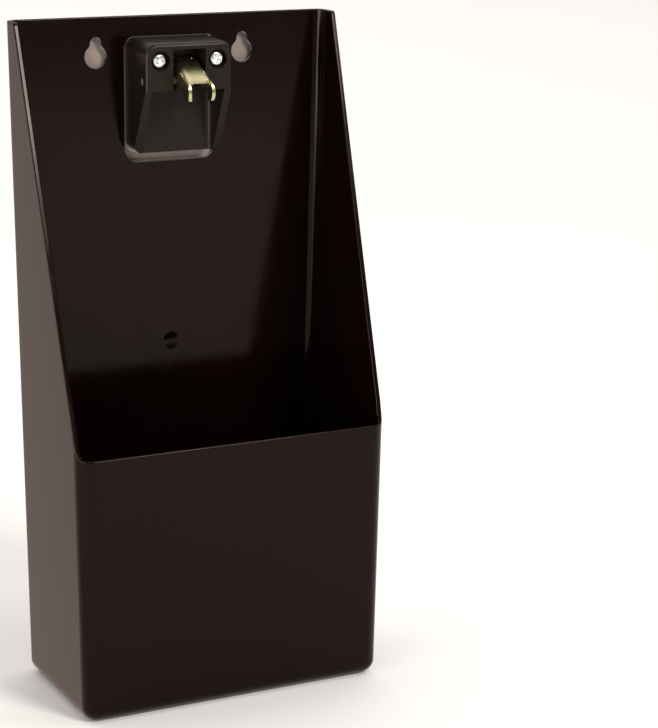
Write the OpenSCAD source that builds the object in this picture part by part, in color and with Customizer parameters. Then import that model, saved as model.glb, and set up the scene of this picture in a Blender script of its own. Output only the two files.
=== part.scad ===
// Wall-mounted bottle opener: a moulded tray that catches the caps hangs round a screwed-on block,
// and the block carries a sprung steel claw on a cross pin.
// Frame: X to the right, Y into the wall, Z up. The origin lies on the wall plane, midway between the
// two screws of the block. Depths run from the wall towards the front, so a depth d lies at y = -d.

/* [Tray] */
// Width of the tray at its top edge
tray_top_w = 155; // [148:0.5:180]
// Width of the tray at its floor, less than at the top for the draft of the moulding
tray_floor_w = 144.4; // [130:0.1:147]
// Height of the tray
tray_h = 300; // [260:1:360]
// Depth of the bin from the wall to its front face
tray_d = 76; // [60:1:110]
// Height of the bin's front rim above the floor
rim_h = 120; // [80:1:160]
// Depth of the wings at the top edge
wing_d = 13; // [9:0.5:24]
// Level run of the rim behind the front face, before the wings rise
rim_land = 4; // [2:0.5:10]
// Radius of the sweep from the rim into the wings
wing_foot_r = 5; // [2:0.5:8]
// Radius of the upper front corner of the wings
wing_top_r = 2; // [0.5:0.5:5]
// Wall thickness of the tray
tray_wall = 2.2; // [1.6:0.1:3.5]
// Radius of the upright edges at the wall
tray_rear_r = 6; // [4.5:0.5:10]
// Radius of the upright edges at the front
tray_front_r = 7.2; // [5:0.1:12]
// Radius of the edges round the floor
tray_floor_r = 6; // [4.5:0.5:10]
// Height of the tray's top edge above the block's screws
tray_above = 18; // [16:0.5:30]

/* [Tray openings] */
// Distance between the two keyholes
keyhole_spacing = 71.2; // [66:0.1:100]
// Diameter of the round part of a keyhole
keyhole_d = 10.4; // [9:0.1:13]
// Width of the slot of a keyhole
keyhole_slot_w = 5.2; // [4:0.1:8]
// Rise from the centre of the round part to the centre of the slot's end
keyhole_rise = 6; // [5:0.1:8]
// Height of the round part's centre above the block's screws
keyhole_above = 0.5; // [-3:0.5:3]
// Gap between the block and each side of the cut-out
cutout_side_gap = 0.6; // [0.4:0.1:1.5]
// Gap between the block's top and the cut-out's upper edge, which rests on it
cutout_top_gap = 0.3; // [0.2:0.1:1]
// Travel of the tray when it is lifted on the block
tray_lift = 4.2; // [2:0.1:8]
// Gap that is left under the block when the tray is lifted
lift_gap = 0.4; // [0.3:0.1:1]
// Diameter of the moulding gate's dimple in the back wall
gate_d = 9; // [5:0.5:14]
// Depth of the gate's dimple
gate_depth = 0.6; // [0.2:0.1:1.2]

/* [Block] */
// Width of the block at the wall
block_w = 43.2; // [40:0.2:56]
// Draft of the block's top and of each side, as what is lost between the wall and the front face
block_taper = 0.9; // [0.2:0.1:2]
// Depth of the block from the wall to the front face of its bosses
block_d = 24; // [22:0.5:32]
// Height of the block above its screws
block_above = 8.5; // [7:0.5:12]
// Height of the block below its screws
block_below = 42.9; // [34:0.1:60]
// Radius of the upper corners
block_top_r = 5; // [2:0.5:7]
// Radius of the lower corners
block_low_r = 5; // [4:0.5:10]
// Radius of the front edges
block_edge_r = 1.6; // [0.5:0.1:2.5]
// Depth of the lip at the foot of the block
lip_d = 9.4; // [8:0.2:14]
// Height of the bosses' underside below the screws
boss_below = 13.4; // [12.8:0.1:18]
// Set-back of the cheeks behind the bosses' front face
cheek_step = 1; // [0.5:0.1:3]
// Thickness of the cheeks beside the mouth, at the front
cheek_t = 3.2; // [2:0.1:6]
// Thickness of the wall behind the mouth
mouth_back = 7; // [5:0.2:8]
// Radius of the upright inner corners of the mouth
mouth_r = 3; // [1:0.5:5]
// Width of the claw's slot between the bosses
slot_w = 15.6; // [14.6:0.1:17.5]
// Thickness of the block above the slot
slot_roof = 3.6; // [2:0.1:5]
// Thickness of the block behind the slot, which stops the claw
slot_back = 13; // [11:0.1:13.8]

/* [Block screws] */
// Distance between the two screws
screw_spacing = 27.5; // [26.5:0.1:30]
// Outer diameter of the screw's thread
screw_d = 3.5; // [3:0.1:4.2]
// Diameter of the plain shank between the head and the thread
shank_d = 2.8; // [2.2:0.1:3]
// Length of the plain shank that stands out of the block, before the thread starts
thread_lead = 1; // [0.6:0.1:3]
// Diameter of the pan head
screw_head_d = 7; // [5.5:0.1:8]
// Height of the pan head
screw_head_h = 2.4; // [1.8:0.1:3]
// Length of the screw that stands out of the block into the wall
screw_reach = 25; // [15:1:45]
// Length of the screw's point
screw_point = 5; // [3:0.5:8]
// Gap round the shank in the block
screw_gap = 0.25; // [0.1:0.05:0.5]
// Gap round the head in its counterbore
head_gap = 0.9; // [0.3:0.1:1]
// Depth of the counterbore
counterbore_d = 3.4; // [2.6:0.1:6]
// Width of the cross recess in the head
recess_w = 0.9; // [0.6:0.1:1.2]
// Depth of the cross recess in the head
recess_depth = 1.4; // [0.8:0.1:1.6]

/* [Claw pin] */
// Diameter of the pin
pin_d = 4; // [3:0.1:4.6]
// Depth of the pin's axis from the wall
pin_depth = 18.7; // [18.2:0.1:19.4]
// Height of the pin's axis below the screws
pin_below = 9.3; // [8.6:0.1:10.2]
// How far each end of the pin lies inside the block's side
pin_inset = 0.3; // [0.1:0.1:1]
// Chamfer at the ends of the pin
pin_chamfer = 0.4; // [0.2:0.1:0.8]
// Gap round the pin in the block
pin_seat_gap = 0.02; // [0.01:0.01:0.05]
// Gap round the pin in the claw, a running fit
pin_run_gap = 0.06; // [0.03:0.01:0.1]

/* [Claw] */
// Gap between the claw and each side of its slot
claw_side_gap = 1.4; // [0.6:0.1:2]
// Thickness of the claw's sheet
claw_sheet = 1.5; // [1.2:0.1:1.8]
// Outer radius of the fold between the web and the legs
claw_fold_r = 3; // [2.4:0.1:3.2]
// Slope of the web down towards the front
web_slope = 25.7; // [22:0.1:28]
// Height of the web's outer face above the pin, at the pin
web_up = 9.8; // [9.2:0.1:10.4]
// Distance of the web's front end beyond the pin
web_reach = 16.9; // [15.5:0.1:17.5]
// Reach of the claw's nose beyond the pin, before the nose is rounded
claw_reach = 19.5; // [18.5:0.1:22]
// Drop of the nose below the pin
nose_drop = 3; // [2:0.1:3.4]
// Radius of the nose
nose_r = 8; // [3:0.5:8.5]
// Set-back of the tips behind the nose
tip_back = 1.6; // [0.8:0.1:2.4]
// Drop of the tips below the pin
tip_drop = 7.5; // [6.5:0.1:10]
// Width of each tip
tip_w = 3.4; // [2.5:0.1:5]
// Height of the notch behind the tips, which takes the edge of a cap
notch_h = 4.6; // [3:0.1:5]
// Height of the legs below the pin, at the pin
ear_drop = 4.4; // [3.6:0.1:5]
// Distance beyond the pin where the legs' lower edge starts to rise to the notch
ear_out = 4.5; // [3:0.1:6]
// Level where the legs begin to curl inwards, below the pin
curl_below = 3.8; // [3.8:0.1:5]
// Outer radius of the curl at the tips
curl_r = 15; // [8:0.5:30]
// Swing of the claw between its two stops
claw_swing = 30; // [20:1:34]
// Gap between the claw's heel and the stop behind it
heel_gap = 0.3; // [0.2:0.05:0.5]

/* [Claw spring] */
// Diameter of the spring's wire
wire_d = 0.8; // [0.6:0.05:1]
// Gap between the pin and the coil
coil_gap = 0.9; // [0.5:0.1:1.2]
// Distance between neighbouring curls, centre to centre
coil_pitch = 1.3; // [1.25:0.05:1.5]
// Turns between the two tails of the coil, in whole turns
coil_turns = 5; // [3:1:5]
// Gap between each tail and what it bears on
tail_gap = 0.12; // [0.05:0.01:0.2]

/* [Hidden] */

// Fineness of the arcs, and how far a cutting form runs past what it cuts
arc_fn = 96;
over = 1;

// Tray
tray_top_z = tray_above;
tray_floor_z = tray_above - tray_h;
rim_z = tray_floor_z + rim_h;
tray_tilt = atan((tray_top_w - tray_floor_w) / 2 / tray_h);
gate_r = (gate_d * gate_d / 4 + gate_depth * gate_depth) / (2 * gate_depth);
gate_z = tray_floor_z + tray_h / 2;

// Cut-out in the tray's back wall, and the block that stands in it
cutout_top_z = block_above + cutout_top_gap;
cutout_low_z = -block_below - tray_lift - lift_gap;
cutout_w = block_w + 2 * cutout_side_gap;
block_front_w = block_w - 2 * block_taper;
block_level_d = 2 * tray_wall;
mouth_w = block_front_w - 2 * cheek_t;

// Claw and pin, in the claw's own plane: out from the pin, then up from it
claw_w = slot_w - 2 * claw_side_gap;
heel_r = pin_depth - slot_back - heel_gap;
web_front = [web_reach, web_up - web_reach * tan(web_slope)];
nose = [claw_reach, -nose_drop];
tip_out = claw_reach - tip_back;
fold_skirt = 0.6;
stop_dir = [sin(claw_swing), cos(claw_swing)];
stop_in = [cos(claw_swing), -sin(claw_swing)];
pin_half = block_w / 2 - block_taper * pin_depth / block_d - pin_inset;

// Spring
coil_r = pin_d / 2 + coil_gap + wire_d / 2;
wall_tail = pin_depth - slot_back - wire_d / 2 - tail_gap;
tail_lean = 9;
tail_angle = 180 - claw_swing + tail_lean;
tail_out = [cos(tail_angle), sin(tail_angle)];
tail_run = [tail_out[1], -tail_out[0]];
web_fall = [tan(web_slope), 1];
web_tail = (web_up - coil_r * tail_out * web_fall) / (tail_run * web_fall);
coil_sweep = 360 * coil_turns - (tail_angle - 90);
coil_half = coil_pitch * coil_sweep / 360 / 2;
curl_rings = 8;
wire_sides = 6;
tail_notch_w = wire_d + 1.6;
tail_notch_d = coil_r * cos(tail_lean) + (web_tail - 1.2 * claw_sheet) * sin(tail_lean) - wire_d / 2 - tail_gap;

// Shapes shared by several pieces

// Extrudes a profile drawn as depth and height, centred on the middle plane
module from_side(width) {
    rotate([90, 0, -90]) linear_extrude(width, center = true) children();
}

// Extrudes a profile drawn as width and height, from the wall plane towards the front
module from_front(depth) {
    rotate([90, 0, 0]) linear_extrude(depth) children();
}

// What a rounded corner at p takes off or fills, between edges along the unit vectors a and b
module corner_sliver(p, a, b, r) {
    half = acos(a * b) / 2;
    away = (a + b) / norm(a + b);
    centre = p + away * r / sin(half);
    run = r / tan(half);
    difference() {
        polygon([p - away * over, p + a * run, centre, p + b * run]);
        translate(centre) circle(r, $fn = arc_fn);
    }
}

function along(from, to) = (to - from) / norm(to - from);
function before(points, i) = points[(i + len(points) - 1) % len(points)];
function after(points, i) = points[(i + 1) % len(points)];
function bulges(points, i) = cross(points[i] - before(points, i), after(points, i) - points[i]) > 0;

// Polygon drawn anticlockwise, with a radius for each corner
module rounded(points, radii) {
    difference() {
        union() {
            polygon(points);
            for (i = [0 : len(points) - 1])
                if (radii[i] > 0 && !bulges(points, i)) rounded_corner(points, i, radii[i]);
        }
        for (i = [0 : len(points) - 1])
            if (radii[i] > 0 && bulges(points, i)) rounded_corner(points, i, radii[i]);
    }
}

module rounded_corner(points, i, r) {
    corner_sliver(points[i], along(points[i], before(points, i)), along(points[i], after(points, i)), r);
}

// Tray: a drafted box rounded on its upright and floor edges, hollowed, then cut to the wings' outline

function tray_half_w(z, inset) = tray_floor_w / 2 + (z - tray_floor_z) * tan(tray_tilt) - inset;

module tray_box(inset, top) {
    low = tray_floor_z + inset;
    floor_r = tray_floor_r - inset;
    intersection() {
        translate([0, over, 0])
            from_front(tray_d + 2 * over)
                rounded([[-tray_half_w(low, inset), low], [tray_half_w(low, inset), low],
                         [tray_half_w(top, inset), top], [-tray_half_w(top, inset), top]],
                        [floor_r, floor_r, 0, 0]);
        from_side(2 * tray_top_w)
            rounded([[inset, low], [tray_d - inset, low], [tray_d - inset, top + over], [inset, top + over]],
                    [floor_r, floor_r, 0, 0]);
    }
}

// Rounds one upright edge, which leans outwards with the draft
module upright_sliver(inset, depth, to_front, r) {
    translate([tray_floor_w / 2 - inset, -depth, tray_floor_z])
        rotate([0, tray_tilt, 0])
            translate([0, 0, -tray_h / 2])
                linear_extrude(2 * tray_h)
                    corner_sliver([0, 0], [-1, 0], [0, to_front], r);
}

module tray_form(inset, top) {
    difference() {
        tray_box(inset, top);
        for (side = [0, 1]) mirror([side, 0, 0]) {
            upright_sliver(inset, inset, -1, tray_rear_r - inset);
            upright_sliver(inset, tray_d - inset, 1, tray_front_r - inset);
        }
    }
}

module wing_outline() {
    foot = tray_d - rim_land;
    rounded([[-over, tray_floor_z - over], [tray_d + over, tray_floor_z - over], [tray_d + over, rim_z],
             [foot, rim_z], [wing_d, tray_top_z], [-over, tray_top_z]],
            [0, 0, 0, wing_foot_r, wing_top_r, 0]);
}

module keyhole() {
    through = tray_wall + 2 * over;
    translate([0, over, keyhole_above]) {
        rotate([90, 0, 0]) cylinder(d = keyhole_d, h = through, $fn = arc_fn);
        from_front(through) {
            translate([-keyhole_slot_w / 2, 0]) square([keyhole_slot_w, keyhole_rise]);
            translate([0, keyhole_rise]) circle(d = keyhole_slot_w, $fn = arc_fn);
        }
    }
}

module block_cutout() {
    half = cutout_w / 2;
    top_r = block_top_r + cutout_top_gap;
    low_r = block_low_r + cutout_side_gap + lift_gap;
    translate([0, over, 0])
        from_front(tray_wall + 2 * over)
            rounded([[-half, cutout_low_z], [half, cutout_low_z], [half, cutout_top_z], [-half, cutout_top_z]],
                    [low_r, low_r, top_r, top_r]);
}

module catch_tray() color([0.09, 0.075, 0.07]) difference() {
    intersection() {
        difference() {
            tray_form(0, tray_top_z + over);
            tray_form(tray_wall, tray_top_z + 2 * over);
        }
        from_side(2 * tray_top_w) wing_outline();
    }
    block_cutout();
    for (side = [-1, 1]) translate([side * keyhole_spacing / 2, 0, 0]) keyhole();
    translate([0, gate_depth - gate_r - tray_wall, gate_z]) sphere(gate_r, $fn = arc_fn);
}

// Block: three outlines crossed with each other, opened by the mouth for a cap and the claw's slot

module block_body() {
    half = block_w / 2;
    front_half = block_front_w / 2;
    tall = block_above + block_below;
    intersection() {
        translate([0, over, 0])
            from_front(block_d + 2 * over)
                rounded([[-half, -block_below], [half, -block_below], [half, block_above], [-half, block_above]],
                        [block_low_r, block_low_r, block_top_r, block_top_r]);
        translate([0, 0, -block_below - over])
            linear_extrude(tall + 2 * over)
                rounded([[-half, 0], [-front_half, -block_d], [front_half, -block_d], [half, 0]],
                        [0, block_edge_r, block_edge_r, 0]);
        from_side(2 * block_w)
            rounded([[-over, -block_below - over], [lip_d, -block_below - over], [lip_d, -block_below],
                     [block_d - cheek_step, -boss_below], [block_d, -boss_below],
                     [block_d, block_above - block_taper], [block_level_d, block_above], [-over, block_above]],
                    [0, 0, 0, 0, 0, block_edge_r, 0, 0]);
    }
}

module mouth() {
    translate([0, 0, -block_below - over])
        linear_extrude(block_below + over - boss_below)
            rounded([[mouth_w / 2, -mouth_back], [-mouth_w / 2, -mouth_back],
                     [-mouth_w / 2, -block_d - over], [mouth_w / 2, -block_d - over]],
                    [mouth_r, mouth_r, 0, 0]);
}

module claw_slot() {
    translate([-slot_w / 2, -block_d - over, -boss_below - over])
        cube([slot_w, block_d + over - slot_back, boss_below + over + block_above - slot_roof]);
}

module opener_block() color([0.12, 0.11, 0.11]) difference() {
    block_body();
    mouth();
    claw_slot();
    for (side = [-1, 1]) translate([side * screw_spacing / 2, over, 0]) rotate([90, 0, 0]) {
        cylinder(d = screw_d + 2 * screw_gap, h = block_d + 2 * over, $fn = arc_fn);
        translate([0, 0, over + block_d - counterbore_d])
            cylinder(d = screw_head_d + 2 * head_gap, h = counterbore_d + over, $fn = arc_fn);
    }
    translate([-block_w, -pin_depth, -pin_below])
        rotate([0, 90, 0])
            cylinder(d = pin_d + 2 * pin_seat_gap, h = 2 * block_w, $fn = arc_fn);
}

// Claw: a folded channel whose web slopes down to the front, and two legs that end in inward-curled tips

// Side outline of the whole claw, open upwards past the web
module claw_outline() {
    top = web_up + 2 * over;
    stop_run = (top - heel_r * sin(claw_swing)) / cos(claw_swing);
    brow = 2 * web_front - nose;
    notch_out = tip_out - tip_w;
    rounded([[tip_out, -tip_drop], nose, brow, [brow[0], top], stop_dir * stop_run - stop_in * heel_r,
             [-heel_r, heel_r * tan(claw_swing / 2)], [-heel_r, -ear_drop], [ear_out, -ear_drop],
             [notch_out - tip_w / 3, notch_h - tip_drop], [notch_out, -tip_drop]],
            [0.8, nose_r, 0, 0, 0, heel_r, 1.2, 3, 1.2, 0.8]);
}

// Cross-section of the fold: a web with rounded corners and a skirt of each leg, hanging below the web's face
module fold_section(w, r, hang) {
    low = -claw_fold_r - hang;
    top = r - claw_fold_r;
    rounded([[-w / 2, low], [w / 2, low], [w / 2, top], [-w / 2, top]], [0, 0, r, r]);
}

module channel_section() {
    difference() {
        fold_section(claw_w, claw_fold_r, fold_skirt);
        fold_section(claw_w - 2 * claw_sheet, claw_fold_r - claw_sheet, fold_skirt + over);
    }
}

// Places what is drawn along the web: forwards down its slope, with its outer face level with the origin
module on_web() {
    translate([0, 0, web_up]) rotate([web_slope, 0, 0]) children();
}

module channel() {
    on_web() translate([0, 2 * heel_r, 0]) from_front(2 * heel_r + 2 * claw_reach) channel_section();
}

// Cross-section of one leg: upright, then curled inwards below the pin
module leg_section() {
    translate([claw_w / 2 - claw_sheet, -curl_below]) square([claw_sheet, web_up + curl_below]);
    intersection() {
        translate([claw_w / 2 - curl_r, -curl_below]) difference() {
            circle(curl_r, $fn = arc_fn);
            circle(curl_r - claw_sheet, $fn = arc_fn);
        }
        translate([0, -tip_drop - over]) square([claw_w, tip_drop + over - curl_below]);
    }
}

module legs() {
    difference() {
        translate([0, heel_r + over, 0]) from_front(claw_reach + heel_r + 2 * over) {
            leg_section();
            mirror([1, 0]) leg_section();
        }
        on_web()
            translate([-claw_w, -2 * claw_reach, -claw_fold_r - fold_skirt / 2])
                cube([2 * claw_w, 4 * claw_reach, 2 * web_up]);
    }
}

module claw() color([0.78, 0.72, 0.48]) translate([0, -pin_depth, -pin_below]) difference() {
    intersection() {
        union() {
            channel();
            legs();
        }
        from_side(2 * claw_w) claw_outline();
    }
    rotate([0, 90, 0]) cylinder(d = pin_d + 2 * pin_run_gap, h = 2 * claw_w, center = true, $fn = arc_fn);
    tail_notch();
    web_end();
}

// Notch in the web's rear edge, which takes the spring's tail
module tail_notch() {
    rotate([claw_swing, 0, 0])
        translate([coil_half - tail_notch_w / 2, tail_notch_d, coil_r])
            cube([tail_notch_w, heel_r, 2 * web_up]);
}

// What lies in front of the web's end, which is cut square to the sheet between the legs
module web_end() {
    inner_w = claw_w - 2 * claw_sheet;
    on_web()
        translate([-inner_w / 2, -web_reach / cos(web_slope) - claw_reach, -claw_fold_r])
            cube([inner_w, claw_reach, claw_fold_r + over]);
}

// Pin and screws

module claw_pin() color([0.7, 0.7, 0.7]) translate([-pin_half, -pin_depth, -pin_below])
    rotate([0, 90, 0]) rotate_extrude($fn = arc_fn)
        polygon([[0, 0], [pin_d / 2 - pin_chamfer, 0], [pin_d / 2, pin_chamfer],
                 [pin_d / 2, 2 * pin_half - pin_chamfer], [pin_d / 2 - pin_chamfer, 2 * pin_half],
                 [0, 2 * pin_half]]);

module screw() {
    seat = block_d - counterbore_d;
    head_r = screw_head_d / 2;
    dome_r = head_r * 0.45;
    difference() {
        union() {
            rotate([-90, 0, 0]) translate([0, 0, -seat]) rotate_extrude($fn = arc_fn)
                polygon([[0, -over / 2], [shank_d / 2, -over / 2], [shank_d / 2, seat + thread_lead],
                         [screw_d / 2, seat + thread_lead + (screw_d - shank_d) / 2],
                         [screw_d / 2, seat + screw_reach - screw_point], [0, seat + screw_reach]]);
            translate([0, -seat, 0]) rotate([90, 0, 0]) rotate_extrude($fn = arc_fn)
                intersection() {
                    rounded([[-head_r, 0], [head_r, 0], [head_r, screw_head_h], [-head_r, screw_head_h]],
                            [0, 0, dome_r, dome_r]);
                    square([head_r, screw_head_h]);
                }
        }
        translate([0, -seat - screw_head_h, 0]) rotate([90, 0, 0]) for (turn = [0, 90]) rotate(turn)
            cube([screw_head_d * 0.55, recess_w, 2 * recess_depth], center = true);
    }
}

module block_screws() color([0.85, 0.86, 0.88])
    for (side = [-1, 1]) translate([side * screw_spacing / 2, 0, 0]) screw();

// Spring: one wire that comes off the slot's back, winds round the pin and stands behind the web

// Places of the wire's centre: along the pin, out from it, up from it, with the outward direction there
function coil_place(turned) =
    let (angle = 90 - turned)
    [-coil_half + coil_pitch * turned / 360, coil_r * cos(angle), coil_r * sin(angle), cos(angle), sin(angle)];

function wall_tail_place(run) = [-coil_half, -run, coil_r, 0, 1];

function web_tail_place(run) =
    let (at = coil_r * tail_out + run * tail_run)
    [coil_half, at[0], at[1], tail_out[0], tail_out[1]];

coil_steps = ceil(coil_sweep / 360 * curl_rings);
wire_places = concat(
    [for (run = [wall_tail, wall_tail / 2]) wall_tail_place(run)],
    [for (i = [0 : coil_steps]) coil_place(coil_sweep * i / coil_steps)],
    [for (run = [web_tail / 2, web_tail]) web_tail_place(run)]);

function wire_ring(place) = [for (k = [0 : wire_sides - 1])
    let (turn = 360 * k / wire_sides, off = wire_d / 2 * cos(turn), side = wire_d / 2 * sin(turn))
    [place[0] + side, -place[1] - off * place[3], place[2] + off * place[4]]];

function place_gap(a, b) = norm([a[0] - b[0], a[1] - b[1], a[2] - b[2]]) - wire_d;
wire_count = len(wire_places);
wire_gap = min([for (i = [0 : wire_count - 1], j = [i + curl_rings - 2 : 1 : wire_count - 1])
    place_gap(wire_places[i], wire_places[j])]);
echo(least_gap_between_curls = wire_gap);

module claw_spring() color([0.75, 0.75, 0.75]) translate([0, -pin_depth, -pin_below]) {
    points = [for (place = wire_places) each wire_ring(place)];
    last = (wire_count - 1) * wire_sides;
    sides = [for (i = [0 : wire_count - 2], k = [0 : wire_sides - 1])
        let (a = i * wire_sides + k, b = i * wire_sides + (k + 1) % wire_sides)
        each [[a, b, a + wire_sides], [b, b + wire_sides, a + wire_sides]]];
    ends = [for (k = [1 : wire_sides - 2])
        each [[0, k + 1, k], [last, last + k, last + k + 1]]];
    polyhedron(points, concat(sides, ends));
}

catch_tray();
opener_block();
claw();
claw_pin();
claw_spring();
block_screws();
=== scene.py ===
"""Wall-mounted bottle opener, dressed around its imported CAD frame.

The tray, screws, pin and spring are numpy surfaces with the same sizes as the CAD solids, and the block is
such a surface with its openings carved out. The claw keeps its CAD shape and gets soft edges. Lengths are
written in millimetres and depths run from the wall towards the room, so a depth d lies at y = -d. Meshes
are in metres.
"""

from __future__ import annotations

import logging
import math
from dataclasses import dataclass, field
from enum import Enum
from functools import cache

import bmesh
import bpy
import numpy as np
from mathutils import Matrix, Vector
from mathutils.geometry import tessellate_polygon

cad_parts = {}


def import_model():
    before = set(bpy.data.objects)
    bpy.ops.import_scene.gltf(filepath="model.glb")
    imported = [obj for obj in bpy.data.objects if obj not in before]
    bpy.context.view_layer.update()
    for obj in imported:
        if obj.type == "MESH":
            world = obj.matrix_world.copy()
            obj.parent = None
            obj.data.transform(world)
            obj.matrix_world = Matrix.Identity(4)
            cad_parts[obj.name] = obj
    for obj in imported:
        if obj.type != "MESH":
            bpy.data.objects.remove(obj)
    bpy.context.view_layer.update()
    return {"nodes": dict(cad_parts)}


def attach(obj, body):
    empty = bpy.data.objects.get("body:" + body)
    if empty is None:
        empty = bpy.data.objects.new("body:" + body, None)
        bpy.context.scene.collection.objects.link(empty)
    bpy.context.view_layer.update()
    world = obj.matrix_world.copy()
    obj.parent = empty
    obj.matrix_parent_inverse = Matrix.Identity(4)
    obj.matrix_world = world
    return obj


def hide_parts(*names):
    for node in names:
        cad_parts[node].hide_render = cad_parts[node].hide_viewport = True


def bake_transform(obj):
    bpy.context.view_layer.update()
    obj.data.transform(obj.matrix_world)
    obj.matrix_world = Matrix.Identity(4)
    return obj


LOG = logging.getLogger("bottle_opener")
MM = 0.001
IMAGE_HEIGHT = 728
SENSOR_MM = 36.0
QUARTER_TURN = math.pi / 2
FULL_TURN = 2 * math.pi
MIRROR = np.array([-1.0, 1.0, 1.0])
WELD_DISTANCE = 2e-6
NO_LENGTH = 1e-7
NEARLY_ZERO = 1e-6
FLAT_DEGREES = 0.6
SHARP_DEGREES = 34.0
EDGE_SEGMENTS = 3
NORMAL_WEIGHT = 80
PIN_DEPTH = 18.7
PIN_BELOW = 9.3
SCREW_SPACING = 27.5
LIGHT_COLOUR = (1.0, 0.945, 0.9)
Points = np.ndarray
Piece = bpy.types.Object
Material = bpy.types.Material
Tree = bpy.types.NodeTree
Node = bpy.types.Node
Triple = tuple[float, float, float]
Values = dict[str, float | tuple[float, ...]]


class Body(Enum):
    """The CAD bodies that pieces ride on."""

    OPENER = "opener"
    CLAW = "claw"
    TRAY = "tray"


class Lay(Enum):
    """The direction of the fine lines that rolling or drawing leaves in a metal, as a pattern's scale."""

    ALONG_X = (0.06, 1.0, 1.0)
    ALONG_Y = (1.0, 0.06, 1.0)
    ALL_ROUND = (1.0, 1.0, 1.0)


def smooth_step(low: float, high: float, value: Points) -> Points:
    """Ramp from 0 at low to 1 at high, which may be below low: 3t^2 - 2t^3."""
    t = np.clip((value - low) / (high - low), 0.0, 1.0)
    return t * t * (3.0 - 2.0 * t)


def lathe(middle: float, radius: Points, y: Points, turn: Points) -> Points:
    """Turn rings about an axis into the wall: x = middle + r cos t, z = r sin t, a row for each ring."""
    across, up = radius * np.cos(turn), radius * np.sin(turn)
    return np.stack([middle + across, np.broadcast_to(y, across.shape), up], axis=-1)


def rounded_outline(
    half: Points, top: Points, low: Points, radii: tuple[Points, Points], count: int
) -> tuple[Points, Points]:
    """Rectangle with an arc at each corner: the arc's centre plus radius (cos t, sin t).

    Args:
        half: half of the width, as one number or one row for each outline.
        top: height of the upper side.
        low: height of the lower side.
        radii: radius of the upper corners and of the lower ones.
        count: number of points on each arc.

    Returns:
        The x and z of its points, anticlockwise.
    """
    across, up = [], []
    for quarter, (side, upper) in enumerate(((1, True), (-1, True), (-1, False), (1, False))):
        turn = np.linspace(0.0, QUARTER_TURN, count) + quarter * QUARTER_TURN
        radius = radii[0] if upper else radii[1]
        level = top - radius if upper else low + radius
        across.append(side * (half - radius) + radius * np.cos(turn))
        up.append(level + radius * np.sin(turn))
    return np.concatenate(across, axis=-1), np.concatenate(up, axis=-1)


@dataclass
class Skin:
    """Patches of one closed surface, in millimetres, gathered until they are welded into a mesh."""

    places: list[Points] = field(default_factory=list)
    faces: list[list[int]] = field(default_factory=list)
    count: int = 0

    def _take(self, points: Points) -> int:
        """Keep points for the mesh.

        Args:
            points: array of points and 3 coordinates.

        Returns:
            The number of the first one.
        """
        first = self.count
        self.places.append(points)
        self.count += len(points)
        return first

    def grid(self, points: Points) -> None:
        """Add a patch of quads, from an array of rows, columns and 3 coordinates."""
        first = self._take(points.reshape(-1, 3))
        self.faces.extend((first + grid_quads(*points.shape[:2])).tolist())

    def pair(self, points: Points) -> None:
        """Add a patch and its mirror image across the middle plane."""
        self.grid(points)
        self.grid(points * MIRROR)

    def face(self, points: Points) -> None:
        """Add one flat face with the given corners."""
        first = self._take(points)
        self.faces.append(list(range(first, first + len(points))))

    def tube(self, rings: Points) -> None:
        """Add a closed body with a flat face at both ends.

        Args:
            rings: array of rings, places round them and 3 coordinates.
        """
        self.grid(np.concatenate([rings, rings[:, :1]], axis=1))
        self.face(rings[0])
        self.face(rings[-1])

    def plate(self, loops: list[Points], depth: float) -> None:
        """Add a flat plate with holes, parallel to the wall.

        Args:
            loops: outlines as arrays of x and z, the outer one first, then the holes.
            depth: depth of the plate.
        """
        flat = np.concatenate(loops)
        corners = tessellate_polygon([[Vector((x, z, 0.0)) for x, z in loop] for loop in loops])
        first = self._take(np.column_stack([flat[:, 0], np.full(len(flat), -depth), flat[:, 1]]))
        self.faces.extend((first + np.array(corners)).tolist())

    def build(self, name: str) -> Piece:
        """Weld the patches and turn their faces outwards.

        Args:
            name: name of the piece.

        Returns:
            The new object, linked to the scene and shaded smooth.
        """
        mesh = bpy.data.meshes.new(name)
        mesh.from_pydata((np.concatenate(self.places) * MM).tolist(), [], self.faces)
        return finish_mesh(name, mesh)


def grid_quads(rows: int, columns: int) -> Points:
    """Find the quads between the points of a grid, which are numbered row by row.

    Args:
        rows: number of rows.
        columns: number of columns.

    Returns:
        Array of quads and the numbers of their 4 corners.
    """
    number = np.arange(rows * columns).reshape(rows, columns)
    quads = np.stack([number[:-1, :-1], number[:-1, 1:], number[1:, 1:], number[1:, :-1]], axis=-1)
    return quads.reshape(-1, 4)


def add_object(name: str, data: bpy.types.ID) -> Piece:
    """Make an object and link it to the scene.

    Args:
        name: name of the object.
        data: its mesh, light or camera.

    Returns:
        The object.
    """
    made = bpy.data.objects.new(name, data)
    bpy.context.scene.collection.objects.link(made)
    return made


def finish_mesh(name: str, mesh: bpy.types.Mesh, flat_angle: float = 0.0) -> Piece:
    """Weld a mesh, turn its faces outwards and link it to the scene.

    Args:
        name: name of the piece.
        mesh: mesh in metres, with its place in its points.
        flat_angle: faces that meet at less than this angle, in degrees, are joined into one.

    Returns:
        The new object, shaded smooth.
    """
    work = bmesh.new()
    work.from_mesh(mesh)
    bmesh.ops.remove_doubles(work, verts=work.verts, dist=WELD_DISTANCE)
    bmesh.ops.dissolve_degenerate(work, edges=work.edges, dist=NO_LENGTH)
    if flat_angle:
        limit = math.radians(flat_angle)
        bmesh.ops.dissolve_limit(work, angle_limit=limit, verts=work.verts, edges=work.edges)
    bmesh.ops.recalc_face_normals(work, faces=work.faces)
    work.to_mesh(mesh)
    work.free()
    mesh.polygons.foreach_set("use_smooth", np.ones(len(mesh.polygons), dtype=bool))
    return add_object(name, mesh)


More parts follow.
